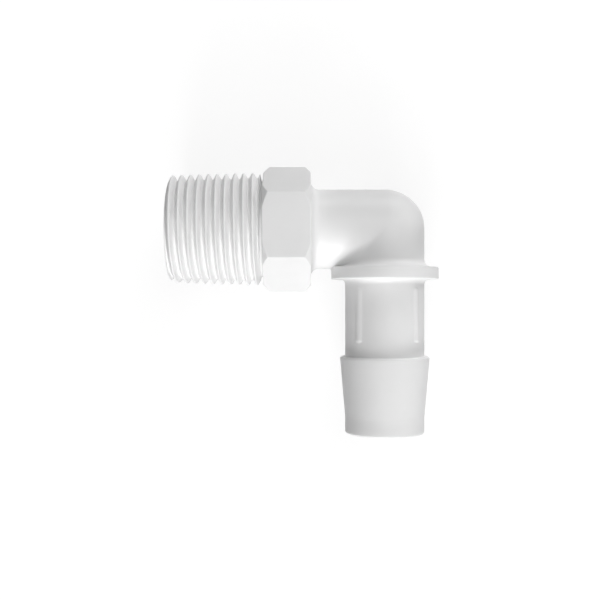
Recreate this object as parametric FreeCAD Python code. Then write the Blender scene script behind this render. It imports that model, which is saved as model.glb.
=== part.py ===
import FreeCAD, Part
import math
import os
from FreeCAD import Vector

# Barbed elbow fitting: one injection moulding in white plastic. A spigot for a tapered male pipe
# thread and a hexagon lie on the thread axis, a stop flange, a neck and a single hose barb on the
# hose axis, and the two round arms meet at a right angle. All sizes are in millimetres.
#
# While it is drawn, the axes cross at the origin: the thread axis runs along X with its mouth
# at -X, the hose axis along Y with its mouth at -Y. The finished part is laid on its side, on
# Z = 0, with the origin under the middle of its box.

# Spigot: the cone over the crests of a 3/8 taper pipe thread
thread_small_d = 16.26          # at the mouth
thread_taper = 1 / 16           # growth of the diameter for each millimetre of length
thread_length = 14.1            # mouth to the hexagon
thread_lead = 0.45              # lead-in chamfer at the mouth
relief_width = 0.35             # groove between the last turn and the hexagon
relief_d = 13.8

# Hexagon, two corners in the plane of the axes, its corners turned to a chamfer at both ends
hex_flats = 16.5
hex_width = 7.15
hex_chamfer_deg = 45.0
hex_chamfer_d = 17.2            # where the chamfer meets an end face

# Arms and the round corner where they meet
arm_d = 12.0
arm_reach = 11.25               # hose axis to the hexagon
arm_fillet = 1.25               # arm to hexagon

# Stop flange, against which the hose ends
flange_d = 16.25
flange_drop = 5.8               # thread axis to the flange's upper face
flange_thickness = 1.85
flange_edge = 0.2
flange_arm_fillet = 1.2
flange_neck_fillet = 0.95

# Neck, with low ribs that keep the hose from turning
neck_d = 12.0
neck_length = 11.7              # flange to barb
rib_count = 4
rib_first_deg = 45.0            # from the plane of the axes
rib_width = 1.2
rib_height = 0.22
rib_length = 8.1
rib_gap = 1.35                  # flange to the near end of a rib

# Single barb with a short land at its tip
barb_d = 13.6
barb_edge = 0.35
barb_length = 9.15              # from the shoulder to where the barb has narrowed to the land
land_d = 12.0
land_length = 2.48
tip_edge = 0.3

# Water way
bore_d = 9.0
bore_mouth = 0.3                # chamfer at both mouths

origin = Vector(0, 0, 0)
x_axis = Vector(1, 0, 0)
y_axis = Vector(0, 1, 0)
z_axis = Vector(0, 0, 1)

hex_inner = -arm_reach
hex_outer = hex_inner - hex_width
mouth = hex_outer - thread_length
relief_start = hex_outer - relief_width
thread_large_r = (thread_small_d + (relief_start - mouth) * thread_taper) / 2
hex_corner_r = hex_flats / 2 / math.cos(math.radians(30))
flange_under = flange_drop + flange_thickness
shoulder = flange_under + neck_length
land_start = shoulder + barb_length
tip = land_start + land_length


def rounded(start, corner, end):
    """Cubic curve that stands in for the arc tangent to both legs; it meshes far lighter."""
    turn = math.pi - (start - corner).getAngle(end - corner)
    radius = start.distanceToPoint(corner) / math.tan(turn / 2)
    handle = 4 / 3 * math.tan(turn / 4) * radius
    curve = Part.BezierCurve()
    curve.setPoles([
        start,
        start + (corner - start).normalize() * handle,
        end + (corner - end).normalize() * handle,
        end,
    ])
    return curve.toShape()


def turned(corners):
    """Solid turned about the X axis from (axial, radial, rounding) corners."""
    points = [Vector(axial, radial, 0) for axial, radial, _ in corners]
    ends = []
    for i, (_, _, rounding) in enumerate(corners):
        corner = points[i]
        back = (points[i - 1] - corner).normalize()
        ahead = (points[(i + 1) % len(points)] - corner).normalize()
        reach = rounding / math.tan(back.getAngle(ahead) / 2)
        ends.append((corner + back * reach, corner + ahead * reach))
    edges = []
    for i, (start, end) in enumerate(ends):
        if corners[i][2] > 0:
            edges.append(rounded(start, points[i], end))
        following = ends[(i + 1) % len(ends)][0]
        if following.distanceToPoint(end) > 1e-6:
            edges.append(Part.LineSegment(end, following).toShape())
    return Part.Face(Part.Wire(edges)).revolve(origin, x_axis, 360)


def on_hose_axis(solid):
    """Turn a solid drawn along +X onto the hose axis, its far end towards -Y."""
    solid.rotate(origin, z_axis, -90)
    return solid


def make_spigot():
    """Tapered spigot from the chamfered mouth to the groove before the hexagon."""
    lead_r = (thread_small_d + thread_lead * thread_taper) / 2
    relief_r = relief_d / 2
    return turned([
        (mouth, 0, 0),
        (mouth, lead_r - thread_lead, 0),
        (mouth + thread_lead, lead_r, 0),
        (relief_start, thread_large_r, 0),
        (relief_start, relief_r, 0),
        (hex_outer, relief_r, 0),
        (hex_outer, 0, 0),
    ])


def make_hexagon():
    """Hexagonal prism whose corners are cut back by the two turned chamfers."""
    points = []
    for k in range(7):
        angle = math.radians(60 * k)
        points.append(Vector(hex_outer, hex_corner_r * math.cos(angle), hex_corner_r * math.sin(angle)))
    prism = Part.Face(Part.makePolygon(points)).extrude(Vector(hex_width, 0, 0))
    face_r = hex_chamfer_d / 2
    beyond = 0.5
    clear_r = hex_corner_r + beyond
    slope = (clear_r - face_r) * math.tan(math.radians(hex_chamfer_deg))
    blank = turned([
        (hex_outer, 0, 0),
        (hex_outer, face_r, 0),
        (hex_outer + slope, clear_r, 0),
        (hex_inner - slope, clear_r, 0),
        (hex_inner, face_r, 0),
        (hex_inner, 0, 0),
    ])
    return prism.common(blank)


def make_arm():
    """Round arm from inside the hexagon to the crossing, with a fillet at the hexagon."""
    root = hex_inner - hex_width / 2
    arm_r = arm_d / 2
    wide_r = arm_r + arm_fillet
    return turned([
        (root, 0, 0),
        (root, wide_r, 0),
        (hex_inner, wide_r, 0),
        (hex_inner, arm_r, arm_fillet),
        (0, arm_r, 0),
        (0, 0, 0),
    ])


def make_corner(diameter):
    """Half ball that closes the corner where two arms, or two bores, of one diameter meet."""
    return Part.makeSphere(diameter / 2, origin, x_axis, 0, 90)


def make_hose_end():
    """Everything turned about the hose axis: arm, stop flange, neck, barb and land."""
    arm_r = arm_d / 2
    flange_r = flange_d / 2
    neck_r = neck_d / 2
    barb_r = barb_d / 2
    land_r = land_d / 2
    return on_hose_axis(turned([
        (0, 0, 0),
        (0, arm_r, 0),
        (flange_drop, arm_r, flange_arm_fillet),
        (flange_drop, flange_r - flange_edge, 0),
        (flange_drop + flange_edge, flange_r, 0),
        (flange_under - flange_edge, flange_r, 0),
        (flange_under, flange_r - flange_edge, 0),
        (flange_under, neck_r, flange_neck_fillet),
        (shoulder, neck_r, 0),
        (shoulder, barb_r - barb_edge, 0),
        (shoulder + barb_edge, barb_r, 0),
        (land_start, land_r, 0),
        (tip - tip_edge, land_r, 0),
        (tip, land_r - tip_edge, 0),
        (tip, 0, 0),
    ]))


def make_ribs():
    """Low round-backed ribs along the neck, each a ball-ended bar sunk into it."""
    back_r = (rib_width ** 2 / 4 + rib_height ** 2) / (2 * rib_height)
    sunk = neck_d / 2 + rib_height - back_r
    near = Vector(sunk, -flange_under - rib_gap - rib_width / 2, 0)
    far = near - y_axis * (rib_length - rib_width)
    ribs = []
    for k in range(rib_count):
        bar = Part.makeCylinder(back_r, near.distanceToPoint(far), far, y_axis)
        bar = bar.fuse([Part.makeSphere(back_r, near, y_axis, 0, 90), Part.makeSphere(back_r, far, -y_axis, 0, 90)])
        bar.rotate(origin, y_axis, rib_first_deg + 360 * k / rib_count)
        ribs.append(bar)
    return ribs


def bore_along_x(far_end):
    """Core pin for one leg, from the crossing to beyond the mouth, which it chamfers."""
    bore_r = bore_d / 2
    beyond = 1.0
    return turned([
        (0, 0, 0),
        (0, bore_r, 0),
        (far_end - bore_mouth, bore_r, 0),
        (far_end + beyond, bore_r + bore_mouth + beyond, 0),
        (far_end + beyond, 0, 0),
    ])


def make_water_way():
    """Two core pins that meet in a round corner."""
    thread_pin = bore_along_x(-mouth)
    thread_pin.rotate(origin, z_axis, 180)
    hose_pin = on_hose_axis(bore_along_x(tip))
    return thread_pin.fuse([hose_pin, make_corner(bore_d)])


def lay_on_side(solid):
    """Rest the spigot on Z = 0 and bring the middle of the box over the origin."""
    solid.translate(Vector(-(mouth + flange_d / 2) / 2, (tip - hex_corner_r) / 2, thread_large_r))
    return solid


outside = make_spigot().fuse([make_hexagon(), make_arm(), make_corner(arm_d), make_hose_end()] + make_ribs())
fitting = lay_on_side(outside.cut(make_water_way()).removeSplitter())

os.makedirs("parts", exist_ok=True)
fitting.exportStep("parts/elbow_fitting.step")
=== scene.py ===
import math

import bmesh
import bpy
import numpy as np
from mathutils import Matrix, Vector


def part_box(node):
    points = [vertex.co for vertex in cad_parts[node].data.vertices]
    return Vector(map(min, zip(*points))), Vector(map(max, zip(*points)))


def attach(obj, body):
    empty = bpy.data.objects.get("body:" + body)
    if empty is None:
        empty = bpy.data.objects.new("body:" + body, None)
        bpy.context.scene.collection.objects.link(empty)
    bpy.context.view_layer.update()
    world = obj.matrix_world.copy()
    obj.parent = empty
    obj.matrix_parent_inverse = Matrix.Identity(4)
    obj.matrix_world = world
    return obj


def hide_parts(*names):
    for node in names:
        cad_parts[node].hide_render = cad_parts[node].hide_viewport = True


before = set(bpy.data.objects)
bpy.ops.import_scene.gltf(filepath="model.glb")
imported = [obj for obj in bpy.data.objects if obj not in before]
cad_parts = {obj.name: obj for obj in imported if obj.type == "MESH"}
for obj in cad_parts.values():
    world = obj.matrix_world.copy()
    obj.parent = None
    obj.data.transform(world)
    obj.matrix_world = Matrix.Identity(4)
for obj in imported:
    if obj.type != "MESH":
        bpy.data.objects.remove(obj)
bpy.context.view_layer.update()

# A barbed elbow fitting, moulded in one piece in white plastic. Its skin is worked out in
# millimetres about the point where the two axes cross: the thread leg runs towards -X and the hose
# leg towards -Y. Each leg is a grid of rings, and the two legs share one curve where they meet.
# The finished skin is then moved to the frame, in metres.
mm = 0.001


# Angles round a full circle, packed closer about some spots: the running sum of a density of 1
# plus a bell of the given gain at each spot, shared out evenly. The spread is in degrees.
def crowdedAngles(count, spots, gain, spread, samples=7201):
    fine = np.linspace(0, 2 * math.pi, samples)
    away = np.abs((fine[:, None] - spots + math.pi) % (2 * math.pi) - math.pi)
    density = 1 + gain * np.exp(-(away / math.radians(spread)) ** 2).sum(axis=1)
    total = np.concatenate([[0], np.cumsum((density[1:] + density[:-1]) / 2)])
    return np.interp(np.arange(count) / count, total / total[-1], fine)


# Rings of a profile from its corners: (axial, radial, rounding, steps on the rounding, steps on to
# the next corner). Any value may be an array over the columns. A rounding is the cubic curve that
# follows the arc tangent to both legs. The result is (rings, columns, 2).
def profileRings(corners, columns=1):
    points = [np.stack(np.broadcast_arrays(c[0], c[1], np.zeros(columns))[:2], axis=1) for c in corners]
    rows = []
    last = len(corners) - 1
    for i, (_, _, rounding, roundSteps, _) in enumerate(corners):
        here = points[i]
        if rounding and 0 < i < last:
            back, ahead = points[i - 1] - here, points[i + 1] - here
            back = back / np.linalg.norm(back, axis=1)[:, None]
            ahead = ahead / np.linalg.norm(ahead, axis=1)[:, None]
            turn = math.pi - np.arccos(np.clip((back * ahead).sum(axis=1), -1, 1))[:, None]
            reach = rounding * np.tan(turn / 2)
            pull = 4 / 3 * np.tan(turn / 4) / np.tan(turn / 2)
            start, end = here + back * reach, here + ahead * reach
            t = np.linspace(0, 1, roundSteps + 1)[:, None, None]
            curve = (
                (1 - t) ** 3 * start
                + 3 * (1 - t) ** 2 * t * (start + (here - start) * pull)
                + 3 * (1 - t) * t ** 2 * (end + (here - end) * pull)
                + t ** 3 * end
            )
        else:
            curve = here[None]
        if rows:
            t = np.linspace(0, 1, corners[i - 1][4] + 1)[1:-1, None, None]
            rows.append(rows[-1][-1] * (1 - t) + curve[0] * t)
        rows.append(curve)
    return np.concatenate(rows)


# Points about the thread axis: x along it, radius r, angle from +Y towards +Z.
def aboutThread(x, r, angle):
    return np.stack(np.broadcast_arrays(x, r * np.cos(angle), r * np.sin(angle)), axis=-1)


# Points about the hose axis: y along it, radius r, angle from -X towards +Z.
def aboutHose(y, r, angle):
    return np.stack(np.broadcast_arrays(-r * np.cos(angle), y, r * np.sin(angle)), axis=-1)


# A grid of rings with its quads, open between the last column and the first.
def openGrid(points):
    index = np.arange(points[..., 0].size).reshape(points.shape[:2])
    quads = np.stack([index[:-1, :-1], index[:-1, 1:], index[1:, 1:], index[1:, :-1]], axis=-1)
    return points, quads.reshape(-1, 4)


# The same, closed round the columns.
def closedGrid(points):
    return openGrid(np.concatenate([points, points[:, :1]], axis=1))


# A flat face between a circle and an inner one of half as many points: each cell has two outer
# edges and one inner edge.
def flatRing(outerPoints, innerPoints):
    count = len(outerPoints)
    outer = np.arange(0, count, 2)
    inner = count + np.arange(count // 2)
    cells = np.stack([outer, outer + 1, (outer + 2) % count, np.roll(inner, -1), inner], axis=-1)
    return np.concatenate([outerPoints, innerPoints]), cells


bendShape = {
    "radius": 6.0,              # both arms, and the ball at the outer corner
    "threadColumns": 192,       # round the thread leg, a multiple of 12
    "cornerCrowding": (5.0, 1.5),   # gain and spread of its columns at the hexagon's corners
    "hoseColumns": 192,         # round the hose leg, even
    "ribCrowding": (2.0, 6.0),  # the same at the ribs and under the thread leg
    "armRows": 25,
    "armCrowding": 1.5,         # power by which the arm's rows crowd towards the crease
}


# Both legs of a bend of one radius. profile holds the rings of the hose leg, from the pole of the
# ball to the ring level with the thread leg's underside, one for each column of half the thread
# leg. The legs meet where these rings cut the thread leg's cylinder: at height y the cylinder is
# at z = sqrt(radius^2 - y^2), and the ring is there at x = -sqrt(ring^2 - z^2).
def bendGrids(radius, profile, phi, theta, legStart, share):
    half = len(phi) // 2
    y, ring = profile[:, 0], profile[:, 1]
    z = np.sqrt(np.maximum(radius ** 2 - y ** 2, 0))
    x = -np.sqrt(np.maximum(ring ** 2 - z ** 2, 0))
    cut = np.arccos(np.clip(y / radius, -1, 1))
    column = np.arange(len(phi))
    k = np.minimum(column, len(phi) - column)
    angleEnd = np.where(column <= half, cut[k], 2 * math.pi - cut[k])
    t = share[:, None]
    leg = aboutThread(legStart * (1 - t) + x[k] * t, radius, phi * (1 - t) + angleEnd * t)
    opening = np.arctan2(z, -x)[:, None]
    around = np.append(theta, 2 * math.pi) / (2 * math.pi)
    hose = aboutHose(y[:, None], ring[:, None], opening + (2 * math.pi - 2 * opening) * around)
    return leg, hose


creaseShape = {
    "softness": 0.5,            # width over which the inner corner and the flange's rim blend
    "fade": 3.0,                # how fast the width grows as the two surfaces turn apart
    "least": 0.001,             # share of the width that is left where they don't
    "start": -9.5,              # along X, the stretch of the skin that is looked at
    "end": 1.0,                 # along X and along Y
    "passes": 4,
}


# Moves points near the crease out to a smooth union of the arm, which ends in a ball, and the turned
# hose leg. With d1 and d2 the distances to the two, the union lies h^2 k / 4 outside the nearer one,
# where h = 1 - |d1 - d2| / k, and each point goes there along the blend of the two normals. The width
# k is the softness, less where the two surfaces run into each other smoothly.
def softenCrease(points, radius, profile):
    flat = points.reshape(-1, 3)
    x, y = flat[:, 0], flat[:, 1]
    near = np.where((x > creaseShape["start"]) & (x < creaseShape["end"]) & (y < creaseShape["end"]))[0]
    step = np.gradient(profile, axis=0)
    normal = np.stack([-step[:, 1], step[:, 0]], axis=1)
    normal /= np.linalg.norm(normal, axis=1)[:, None]
    normal *= np.sign(normal[len(normal) // 2, 1])
    p = flat[near]
    for _ in range(creaseShape["passes"]):
        ring = np.hypot(p[:, 0], p[:, 2])
        gap = np.stack([p[:, 1], ring], axis=1)[:, None] - profile[None]
        nearest = (gap ** 2).sum(axis=2).argmin(axis=1)
        n2 = normal[nearest]
        d2 = (gap[np.arange(len(p)), nearest] * n2).sum(axis=1)
        toArm = np.stack([np.maximum(p[:, 0], 0), p[:, 1], p[:, 2]], axis=1)
        arm = np.linalg.norm(toArm, axis=1)
        d1 = arm - radius
        toArm /= arm[:, None]
        toHose = np.stack([n2[:, 1] * p[:, 0] / ring, n2[:, 0], n2[:, 1] * p[:, 2] / ring], axis=1)
        apart = 1 - (toArm * toHose).sum(axis=1)
        k = creaseShape["softness"] * np.clip(creaseShape["fade"] * apart, creaseShape["least"], 1)
        h = np.maximum(1 - np.abs(d1 - d2) / k, 0)
        depth = np.minimum(d1, d2) - h ** 2 * k / 4
        weight = np.where(d1 < d2, h / 2, 1 - h / 2)[:, None]
        way = toArm * (1 - weight) + toHose * weight
        way /= np.linalg.norm(way, axis=1)[:, None]
        p = p - way * np.where(h > 0, depth, 0)[:, None]
    flat[near] = p
    return flat.reshape(points.shape)


# A 3/8 taper pipe thread: 19 turns to the inch, growing 1 in 16, with rounded crests and roots.
threadShape = {
    "mouth": -32.5,
    "smallRadius": 8.13,        # over the crests, at the mouth
    "growth": 1 / 32,           # of the radius, for each millimetre towards the hexagon
    "pitch": 1.337,
    "depth": 0.856,
    "rounding": 0.184,          # crests and roots alike
    "flankDeg": 27.5,
    "firstCrest": 0.417,        # from the mouth to the first crest, on the +Y side
    "lead": 0.45,               # chamfer at the mouth
    "leadZone": 0.7,            # length with plain rings behind the mouth
    "leadRows": 15,
    "arcRows": 7,               # over each crest and each root
    "turns": (-2, 13),          # from the first crest, past both ends; what lies beyond is cut off
    "reliefWidth": 0.54,        # groove between the last turn and the hexagon, at its top
    "reliefFoot": 0.32,         # and at its bottom
    "reliefRadius": 7.25,
    "reliefRound": 0.06,
}


# Depth below the crests at a distance along the axis from the nearest crest: an arc, a straight
# flank, and the same arc turned over in the root.
def threadDrop(away):
    flank = math.radians(threadShape["flankDeg"])
    rounding, pitch = threadShape["rounding"], threadShape["pitch"]
    low = np.minimum(away, pitch / 2 - away)
    arc = rounding - np.sqrt(np.maximum(rounding ** 2 - low ** 2, 0))
    slope = rounding * (1 - math.sin(flank)) + (low - rounding * math.cos(flank)) / math.tan(flank)
    drop = np.where(low < rounding * math.cos(flank), arc, slope)
    return np.where(away < pitch / 4, drop, threadShape["depth"] - drop)


# Radius of the right-handed thread at x and an angle: a crest moves one pitch along for each turn.
def threadRadius(x, angle):
    pitch = threadShape["pitch"]
    inward = x - threadShape["mouth"]
    fromFirst = inward - threadShape["firstCrest"] - pitch * angle / (2 * math.pi)
    away = np.abs((fromFirst + pitch / 2) % pitch - pitch / 2)
    cone = threadShape["smallRadius"] + inward * threadShape["growth"]
    return np.minimum(cone - threadDrop(away), threadShape["smallRadius"] - threadShape["lead"] + inward)


hexShape = {
    "outer": -18.4,             # face towards the thread
    "inner": -11.25,            # face towards the arm
    "flats": 16.5,
    "faceRadius": 8.52,         # where a corner's chamfer meets the end face
    "chamferDeg": 41.0,
    "edgeBreak": 0.12,          # where the chamfer has run out, along the flats
    "edge": 0.2,                # rounding between the chamfer and a flat
    "faceEdge": 0.1,            # and between the chamfer and an end face
    "cornerRound": 0.22,
    "armFillet": 1.25,
    "armRing": 0.2,             # from the fillet's end to the ring where the arm's grid starts
}


# Radius of the hexagon at each angle: half the flats over the cosine from the nearest flat's
# middle, with the corners, at 0, 60, 120 and so on, taken off to a round.
def hexRadius(angle):
    halfFlats = hexShape["flats"] / 2
    away = np.abs((angle + math.pi / 6) % (math.pi / 3) - math.pi / 6)
    rounding = hexShape["cornerRound"]
    centre = (halfFlats - rounding) / math.cos(math.pi / 6)
    arc = centre * np.cos(away) + np.sqrt(np.maximum(rounding ** 2 - (centre * np.sin(away)) ** 2, 0))
    within = away < math.atan2(rounding / 2, centre + rounding * math.cos(math.pi / 6))
    return np.where(within, arc, halfFlats / np.cos(math.pi / 6 - away))


# The thread leg from its mouth to the arm, as three grids: plain rings with the chamfer at the
# mouth, rings that run along the crests and roots of the helix, and the groove, the hexagon and the
# arm's fillet. A chamfer turned off the hexagon's corners runs out along its flats.
def threadLeg(phi, armStart):
    mouth, pitch = threadShape["mouth"], threadShape["pitch"]
    outer, inner = hexShape["outer"], hexShape["inner"]
    flat = hexRadius(phi)
    faceRadius = np.minimum(hexShape["faceRadius"], flat - hexShape["edgeBreak"])
    chamfer = (flat - faceRadius) * math.tan(math.radians(hexShape["chamferDeg"]))

    leadEnd, helixEnd = mouth + threadShape["leadZone"], outer - threadShape["reliefWidth"]
    x = np.linspace(mouth, leadEnd, threadShape["leadRows"])[:, None]
    lead = aboutThread(x, threadRadius(x, phi), phi)

    turning = np.append(phi, 2 * math.pi)
    arc = threadShape["rounding"] * math.cos(math.radians(threadShape["flankDeg"]))
    spread = arc * np.linspace(-1, 1, threadShape["arcRows"])
    offsets = (np.array([0, pitch / 2])[:, None] + spread).ravel()
    turns = np.arange(*threadShape["turns"])[:, None] * pitch
    crests = mouth + threadShape["firstCrest"] + (turns + offsets).ravel()
    x = crests[:, None] + pitch * turning / (2 * math.pi)
    x = np.clip(x, leadEnd, helixEnd)
    helix = aboutThread(x, threadRadius(x, turning), turning)

    rings = profileRings([
        (helixEnd, threadRadius(helixEnd, phi), 0, 0, 4),
        (outer - threadShape["reliefFoot"], threadShape["reliefRadius"], threadShape["reliefRound"], 2, 2),
        (outer, threadShape["reliefRadius"], threadShape["reliefRound"], 2, 4),
        (outer, faceRadius, hexShape["faceEdge"], 3, 2),
        (outer + chamfer, flat, hexShape["edge"], 5, 5),
        (inner - chamfer, flat, hexShape["edge"], 5, 2),
        (inner, faceRadius, hexShape["faceEdge"], 3, 2),
        (inner, bendShape["radius"], hexShape["armFillet"], 8, 1),
        (armStart, bendShape["radius"], 0, 0, 1),
    ], len(phi))
    return lead, helix, aboutThread(rings[..., 0], rings[..., 1], phi)


hoseShape = {
    "flangeTop": -5.8,
    "flangeUnder": -7.65,
    "flangeRadius": 8.125,
    "flangeEdge": 0.2,
    "armFillet": 1.2,
    "armRing": 0.12,            # from the arm's last ring to the start of its fillet
    "neckFillet": 0.8,
    "neckRadius": 6.0,
    "shoulder": -19.35,
    "shoulderRound": 0.12,      # in the corner between the neck and the shoulder
    "barbRadius": 6.8,
    "barbEdge": 0.3,
    "landStart": -28.5,         # where the barb's cone runs out into the plain end
    "landBlend": 2.5,
    "landRadius": 6.0,
    "tip": -30.98,
    "tipRound": 0.35,
    "tipRing": 0.05,            # from the end of that round to the ring where the grid ends
}

ribShape = {
    "count": 4,
    "firstDeg": 45.0,           # from the plane of the axes
    "top": -9.0,
    "length": 8.1,
    "width": 1.2,
    "height": 0.16,             # at the end near the flange
    "rise": 0.14,               # added by the other end
    "endLength": 0.3,
    "softness": 0.04,
    "margin": 0.2,              # kept plain next to the neck's fillet and the shoulder
}


# Rings of the hose leg down to the level of the thread leg's underside: ball, arm, fillet, and the
# upper side and edge of the flange. There is one for each column of half the thread leg.
def upperHoseProfile(phi):
    radius, top = bendShape["radius"], hoseShape["flangeTop"]
    flange = profileRings([
        (0, radius, 0, 0, 1),
        (top, radius, hoseShape["armFillet"], 9, 5),
        (top, hoseShape["flangeRadius"], hoseShape["flangeEdge"], 4, 1),
        (-radius, hoseShape["flangeRadius"], 0, 0, 1),
    ])[1:-1, 0]
    cut = phi[:len(phi) // 2 + 1 - len(flange)]
    lowest = math.acos((top + hoseShape["armFillet"] + hoseShape["armRing"]) / radius)
    quarter = math.pi / 2
    cut = np.where(cut > quarter, quarter + (cut - quarter) * (lowest - quarter) / (cut[-1] - quarter), cut)
    ball = np.stack([radius * np.cos(cut), radius * np.where(cut > quarter, 1, np.sin(cut))], axis=1)
    return np.concatenate([ball, flange])


# The rest of the hose leg: the flange's rim and underside, the neck, the barb and the tip.
def lowerHoseProfile():
    neck, land = hoseShape["neckRadius"], hoseShape["landRadius"]
    return profileRings([
        (-bendShape["radius"], hoseShape["flangeRadius"], 0, 0, 6),
        (hoseShape["flangeUnder"], hoseShape["flangeRadius"], hoseShape["flangeEdge"], 4, 3),
        (hoseShape["flangeUnder"], neck, hoseShape["neckFillet"], 8, 90),
        (hoseShape["shoulder"], neck, hoseShape["shoulderRound"], 3, 2),
        (hoseShape["shoulder"], hoseShape["barbRadius"], hoseShape["barbEdge"], 6, 10),
        (hoseShape["landStart"], land, hoseShape["landBlend"], 4, 5),
        (hoseShape["tip"], land, hoseShape["tipRound"], 8, 1),
        (hoseShape["tip"], land - hoseShape["tipRound"] - hoseShape["tipRing"], 0, 0, 1),
    ])[:, 0]


# Height of the ribs over the neck: the back of a round bar sunk into it, deeper towards the flange,
# with short round ends and softened at its foot.
def ribHeight(y, angle):
    along = np.clip((ribShape["top"] - y) / ribShape["length"], 0, 1)
    height = ribShape["height"] + ribShape["rise"] * along
    back = (ribShape["width"] ** 2 / 4 + height ** 2) / (2 * height)
    half = ribShape["length"] / 2 - ribShape["endLength"]
    spacing = 2 * math.pi / ribShape["count"]
    aside = (angle - math.radians(ribShape["firstDeg"]) + spacing / 2) % spacing - spacing / 2
    beyond = np.maximum(np.abs(y - ribShape["top"] + ribShape["length"] / 2) - half, 0)
    beyond = beyond / ribShape["endLength"] * ribShape["width"] / 2
    over = np.sqrt(np.maximum(back ** 2 - (aside * hoseShape["neckRadius"]) ** 2 - beyond ** 2, 0))
    over = over - back + height
    neckTop = hoseShape["flangeUnder"] - hoseShape["neckFillet"] - ribShape["margin"]
    onNeck = (y < neckTop) & (y > hoseShape["shoulder"] + ribShape["margin"])
    return (over + np.sqrt(over ** 2 + ribShape["softness"] ** 2)) / 2 * onNeck


print("fitting: outside")
low, high = (np.array(corner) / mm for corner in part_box("elbow_fitting"))
middle = (low + high) / 2
crossing = np.array([high[0] - hoseShape["flangeRadius"], low[1] - hoseShape["tip"], middle[2]])
armStart = hexShape["inner"] + hexShape["armFillet"] + hexShape["armRing"]

hexAngles = np.radians(np.arange(6) * 60)
phi = crowdedAngles(bendShape["threadColumns"], hexAngles, *bendShape["cornerCrowding"])
ribAngles = np.radians(ribShape["firstDeg"] + np.arange(ribShape["count"]) * 360 / ribShape["count"])
theta = crowdedAngles(bendShape["hoseColumns"], np.append(ribAngles, 0), *bendShape["ribCrowding"])

leadGrid, helixGrid, hexGrid = threadLeg(phi, armStart)
upper, lower = upperHoseProfile(phi), lowerHoseProfile()
share = 1 - (1 - np.linspace(0, 1, bendShape["armRows"])) ** bendShape["armCrowding"]
armGrid, bendGrid = bendGrids(bendShape["radius"], upper, phi, theta, armStart, share)
hoseGrid = aboutHose(lower[:, :1], lower[:, 1:] + ribHeight(lower[:, :1], theta), theta)
creaseProfile = np.concatenate([upper, lower[1:6]])     # down to the flange's rim
armGrid, bendGrid, hoseGrid = (
    softenCrease(grid, bendShape["radius"], creaseProfile) for grid in (armGrid, bendGrid, hoseGrid)
)

boreShape = {
    "radius": 4.5,
    "mouthChamfer": 0.3,
    "rows": 9,
}

print("fitting: water way")
bore, chamfer = boreShape["radius"], boreShape["mouthChamfer"]
mouth, tip = threadShape["mouth"], hoseShape["tip"]
borePhi, boreTheta = phi[::2], theta[::2]
cut = borePhi[:len(borePhi) // 2 + 1]
boreProfile = bore * np.stack([np.cos(cut), np.where(cut > math.pi / 2, 1, np.sin(cut))], axis=1)
boreShare = np.linspace(0, 1, boreShape["rows"])
boreLeg, boreBend = bendGrids(bore, boreProfile, borePhi, boreTheta, mouth + chamfer, boreShare)
hoseBore = aboutHose(np.linspace(-bore, tip + chamfer, boreShape["rows"])[:, None], bore, boreTheta)
chamferRadius = np.array([[bore + chamfer], [bore]])
threadChamfer = aboutThread(np.array([[mouth], [mouth + chamfer]]), chamferRadius, borePhi)
hoseChamfer = aboutHose(np.array([[tip], [tip + chamfer]]), chamferRadius, boreTheta)

skinFinish = {
    "merge": 0.0005,            # points closer than this become one
    "sharpDeg": 32,             # edges that turn more than this keep a sharp line
}

print("fitting: joining the grids to one skin")
patches = [
    closedGrid(leadGrid),
    openGrid(helixGrid),
    closedGrid(hexGrid),
    closedGrid(armGrid),
    openGrid(bendGrid),
    closedGrid(hoseGrid),
    closedGrid(boreLeg),
    openGrid(boreBend),
    closedGrid(hoseBore),
    closedGrid(threadChamfer),
    closedGrid(hoseChamfer),
    flatRing(leadGrid[0], threadChamfer[0]),
    flatRing(hoseGrid[-1], hoseChamfer[0]),
]
skinPoints, skinFaces, first = [], [], 0
for patchPoints, patchFaces in patches:
    skinPoints.append(patchPoints.reshape(-1, 3))
    skinFaces.extend((patchFaces + first).tolist())
    first += len(skinPoints[-1])
skinMesh = bpy.data.meshes.new("elbow_fitting_skin")
skinMesh.from_pydata(((np.concatenate(skinPoints) + crossing) * mm).tolist(), [], skinFaces)
skinBm = bmesh.new()
skinBm.from_mesh(skinMesh)
bmesh.ops.remove_doubles(skinBm, verts=skinBm.verts, dist=skinFinish["merge"] * mm)
bmesh.ops.recalc_face_normals(skinBm, faces=skinBm.faces)
skinBm.to_mesh(skinMesh)
skinBm.free()
skinMesh.shade_smooth()
skinMesh.set_sharp_from_angle(angle=math.radians(skinFinish["sharpDeg"]))
print("fitting: triangles", sum(len(polygon.vertices) - 2 for polygon in skinMesh.polygons))

skin = bpy.data.objects.new("elbow_fitting_skin", skinMesh)
bpy.context.scene.collection.objects.link(skin)
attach(skin, "root")
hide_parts("elbow_fitting")


# A colour written as sRGB hex, as the linear values that Blender works in.
def fromHex(code):
    parts = [int(code[i:i + 2], 16) / 255 for i in (1, 3, 5)]
    return [v / 12.92 if v <= 0.04045 else ((v + 0.055) / 1.055) ** 2.4 for v in parts] + [1.0]


# Adds a node with its settings, its input values and the sockets that feed it, by name or number.
def addNode(tree, kind, settings=None, values=None, links=None):
    node = tree.nodes.new(kind)
    for name, value in (settings or {}).items():
        setattr(node, name, value)
    for name, value in (values or {}).items():
        node.inputs[name].default_value = value
    for name, socket in (links or {}).items():
        tree.links.new(socket, node.inputs[name])
    return node


def newMaterial(name):
    material = bpy.data.materials.new(name)
    material.use_nodes = True
    material.node_tree.nodes.clear()
    return material, material.node_tree


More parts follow.
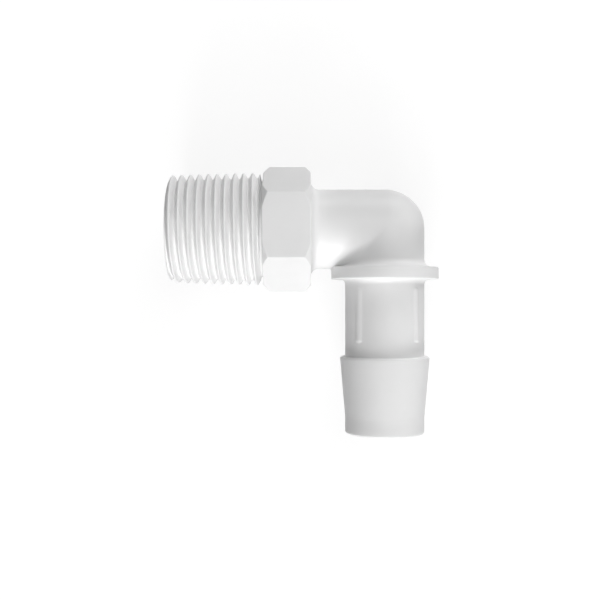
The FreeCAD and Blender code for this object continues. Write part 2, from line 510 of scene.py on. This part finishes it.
polypropyleneLook = {
    "white": "#EDEDED",
    "shade": "#E6E6E6",         # in the clouds
    "ior": 1.49,
    "roughness": (0.41, 0.5),   # outside and inside the clouds
    "milkiness": 0.4,           # share of the light that goes into the plastic and comes out again
    "scatter": 0.5,             # millimetres, as the sizes below
    "cloudSize": 5.0,
    "cloudDetail": 3.0,
    "cloudRoughness": 0.55,
    "cloudEdges": (0.3, 0.7),   # values of the noise between which the roughness changes
    "rippleSize": 2.4,
    "rippleHeight": 0.01,
    "rippleDetail": 2.0,
    "rippleRoughness": 0.4,
    "rippleStrength": 0.25,
}


# Injection-moulded polypropylene in natural white: a dense milky white with a soft waxy gloss, a
# little cloudier where the melt flowed, and a skin that waves very slightly.
def mouldedPolypropylene():
    look = polypropyleneLook
    material, tree = newMaterial("moulded_polypropylene")
    place = addNode(tree, "ShaderNodeTexCoord").outputs["Object"]
    cloud = addNode(
        tree, "ShaderNodeTexNoise",
        values={
            "Scale": 1 / (look["cloudSize"] * mm),
            "Detail": look["cloudDetail"],
            "Roughness": look["cloudRoughness"],
        },
        links={"Vector": place},
    ).outputs["Fac"]
    tint = addNode(tree, "ShaderNodeMix", {"data_type": "RGBA"}, links={"Factor": cloud})
    tint.inputs["A"].default_value = fromHex(look["white"])
    tint.inputs["B"].default_value = fromHex(look["shade"])
    gloss = addNode(
        tree, "ShaderNodeMapRange",
        values={
            "From Min": look["cloudEdges"][0], "From Max": look["cloudEdges"][1],
            "To Min": look["roughness"][0], "To Max": look["roughness"][1],
        },
        links={"Value": cloud},
    )
    ripple = addNode(
        tree, "ShaderNodeTexNoise",
        values={
            "Scale": 1 / (look["rippleSize"] * mm),
            "Detail": look["rippleDetail"],
            "Roughness": look["rippleRoughness"],
        },
        links={"Vector": place},
    )
    bump = addNode(
        tree, "ShaderNodeBump",
        values={"Strength": look["rippleStrength"], "Distance": look["rippleHeight"] * mm},
        links={"Height": ripple.outputs["Fac"]},
    )
    surface = addNode(
        tree, "ShaderNodeBsdfPrincipled",
        values={
            "IOR": look["ior"],
            "Subsurface Weight": look["milkiness"],
            "Subsurface Radius": (1.0, 1.0, 1.0),
            "Subsurface Scale": look["scatter"] * mm,
        },
        links={
            "Base Color": tint.outputs["Result"],
            "Roughness": gloss.outputs["Result"],
            "Normal": bump.outputs["Normal"],
        },
    )
    addNode(tree, "ShaderNodeOutputMaterial", links={"Surface": surface.outputs["BSDF"]})
    return material


print("materials")
skin.data.materials.append(mouldedPolypropylene())

floorLook = {
    "size": 6.0,                # metres, as the distances below
    "colour": "#8C8C8C",
    "lift": 0.8,                # light added under the fitting
    "farLift": 1.0,             # and far from it, where the lamps give less
    "nearEnd": 0.03,            # distances from the middle between which it grows
    "farStart": 0.2,
}


# One where the camera, a reflection or a clear part sees a background, and zero for other light.
def seenDirectly(tree):
    path = addNode(tree, "ShaderNodeLightPath").outputs
    either = addNode(
        tree, "ShaderNodeMath", {"operation": "MAXIMUM"},
        links={0: path["Is Camera Ray"], 1: path["Is Glossy Ray"]},
    )
    return addNode(
        tree, "ShaderNodeMath", {"operation": "MAXIMUM"},
        links={0: either.outputs[0], 1: path["Is Transmission Ray"]},
    ).outputs[0]


# Matt paper, which throws little light back under the fitting. Where it is seen directly, some light
# is added, so that it shows as plain white and only the object's own shadow is darker.
def whitePaper():
    material, tree = newMaterial("white_paper")
    place = addNode(tree, "ShaderNodeTexCoord").outputs["Object"]
    distance = addNode(tree, "ShaderNodeVectorMath", {"operation": "LENGTH"}, links={0: place})
    amount = addNode(
        tree, "ShaderNodeMapRange",
        values={
            "From Min": floorLook["nearEnd"], "From Max": floorLook["farStart"],
            "To Min": floorLook["lift"], "To Max": floorLook["farLift"],
        },
        links={"Value": distance.outputs["Value"]},
    )
    lift = addNode(
        tree, "ShaderNodeMath", {"operation": "MULTIPLY"},
        links={0: seenDirectly(tree), 1: amount.outputs["Result"]},
    )
    glow = addNode(tree, "ShaderNodeEmission", links={"Strength": lift.outputs[0]})
    paper = addNode(tree, "ShaderNodeBsdfDiffuse", values={"Color": fromHex(floorLook["colour"])})
    both = addNode(tree, "ShaderNodeAddShader", links={0: paper.outputs[0], 1: glow.outputs[0]})
    addNode(tree, "ShaderNodeOutputMaterial", links={"Surface": both.outputs[0]})
    return material


print("floor, light and camera")
half = floorLook["size"] / 2
floorCorners = [(-half, -half, 0), (half, -half, 0), (half, half, 0), (-half, half, 0)]
floorMesh = bpy.data.meshes.new("floor")
floorMesh.from_pydata(floorCorners, [], [(0, 1, 2, 3)])
floorMesh.materials.append(whitePaper())
floor = bpy.data.objects.new("floor", floorMesh)
bpy.context.scene.collection.objects.link(floor)

lightLook = {
    "world": 0.03,              # its strength where it isn't seen directly
    "distance": 0.5,            # metres from the middle to each lamp
    "lamps": [
        # name, degrees from +X towards +Y, degrees above the floor, width in metres, watts
        ("key", 285, 13, 0.12, 0.9),
        ("front", 264, 26, 0.20, 1.0),
        ("high front", 270, 45, 0.25, 0.3),
        ("left", 240, 57, 0.40, 0.56),
        ("right", 34, 12, 0.20, 0.6),
        ("back", 70, 12, 0.30, 1.05),
        ("top", 60, 66, 0.40, 0.63),
    ],
}

world = bpy.data.worlds.new("studio")
world.use_nodes = True
world.node_tree.nodes.clear()
strength = addNode(
    world.node_tree, "ShaderNodeMapRange",
    values={"To Min": lightLook["world"], "To Max": 1.0}, links={"Value": seenDirectly(world.node_tree)},
)
sky = addNode(
    world.node_tree, "ShaderNodeBackground",
    values={"Color": (1, 1, 1, 1)}, links={"Strength": strength.outputs["Result"]},
)
addNode(world.node_tree, "ShaderNodeOutputWorld", links={"Surface": sky.outputs[0]})
bpy.context.scene.world = world

for name, around, above, width, watts in lightLook["lamps"]:
    lamp = bpy.data.lights.new(name, "AREA")
    lamp.shape = "DISK"
    lamp.size = width
    lamp.energy = watts
    around, above = math.radians(around), math.radians(above)
    way = Vector((math.cos(above) * math.cos(around), math.cos(above) * math.sin(around), math.sin(above)))
    holder = bpy.data.objects.new(name, lamp)
    holder.location = way * lightLook["distance"]
    holder.rotation_euler = way.to_track_quat("Z", "Y").to_euler()
    bpy.context.scene.collection.objects.link(holder)

# The camera looks straight down, with its frame along X and Y.
cameraView = {
    "crossing": (384.6, 229.3),     # pixel where the axes cross, in a frame of 600 x 600
    "pixel": 0.1524,                # millimetres, at the level of the axes
    "frame": 600,
    "lens": 50.0,
    "sensor": 36.0,
    "clipStart": 0.01,              # metres
}

camera = bpy.data.cameras.new("camera")
camera.lens = cameraView["lens"]
camera.sensor_width = cameraView["sensor"]
camera.clip_start = cameraView["clipStart"]
centre = cameraView["frame"] / 2
toCentre = np.array([centre - cameraView["crossing"][0], cameraView["crossing"][1] - centre, 0])
toCentre[2] = cameraView["frame"] * cameraView["lens"] / cameraView["sensor"]
cameraHolder = bpy.data.objects.new("camera", camera)
cameraHolder.location = Vector((crossing + toCentre * cameraView["pixel"]) * mm)
bpy.context.scene.collection.objects.link(cameraHolder)
bpy.context.scene.camera = cameraHolder
bpy.context.scene.view_settings.view_transform = "Standard"

print("scene: finished")
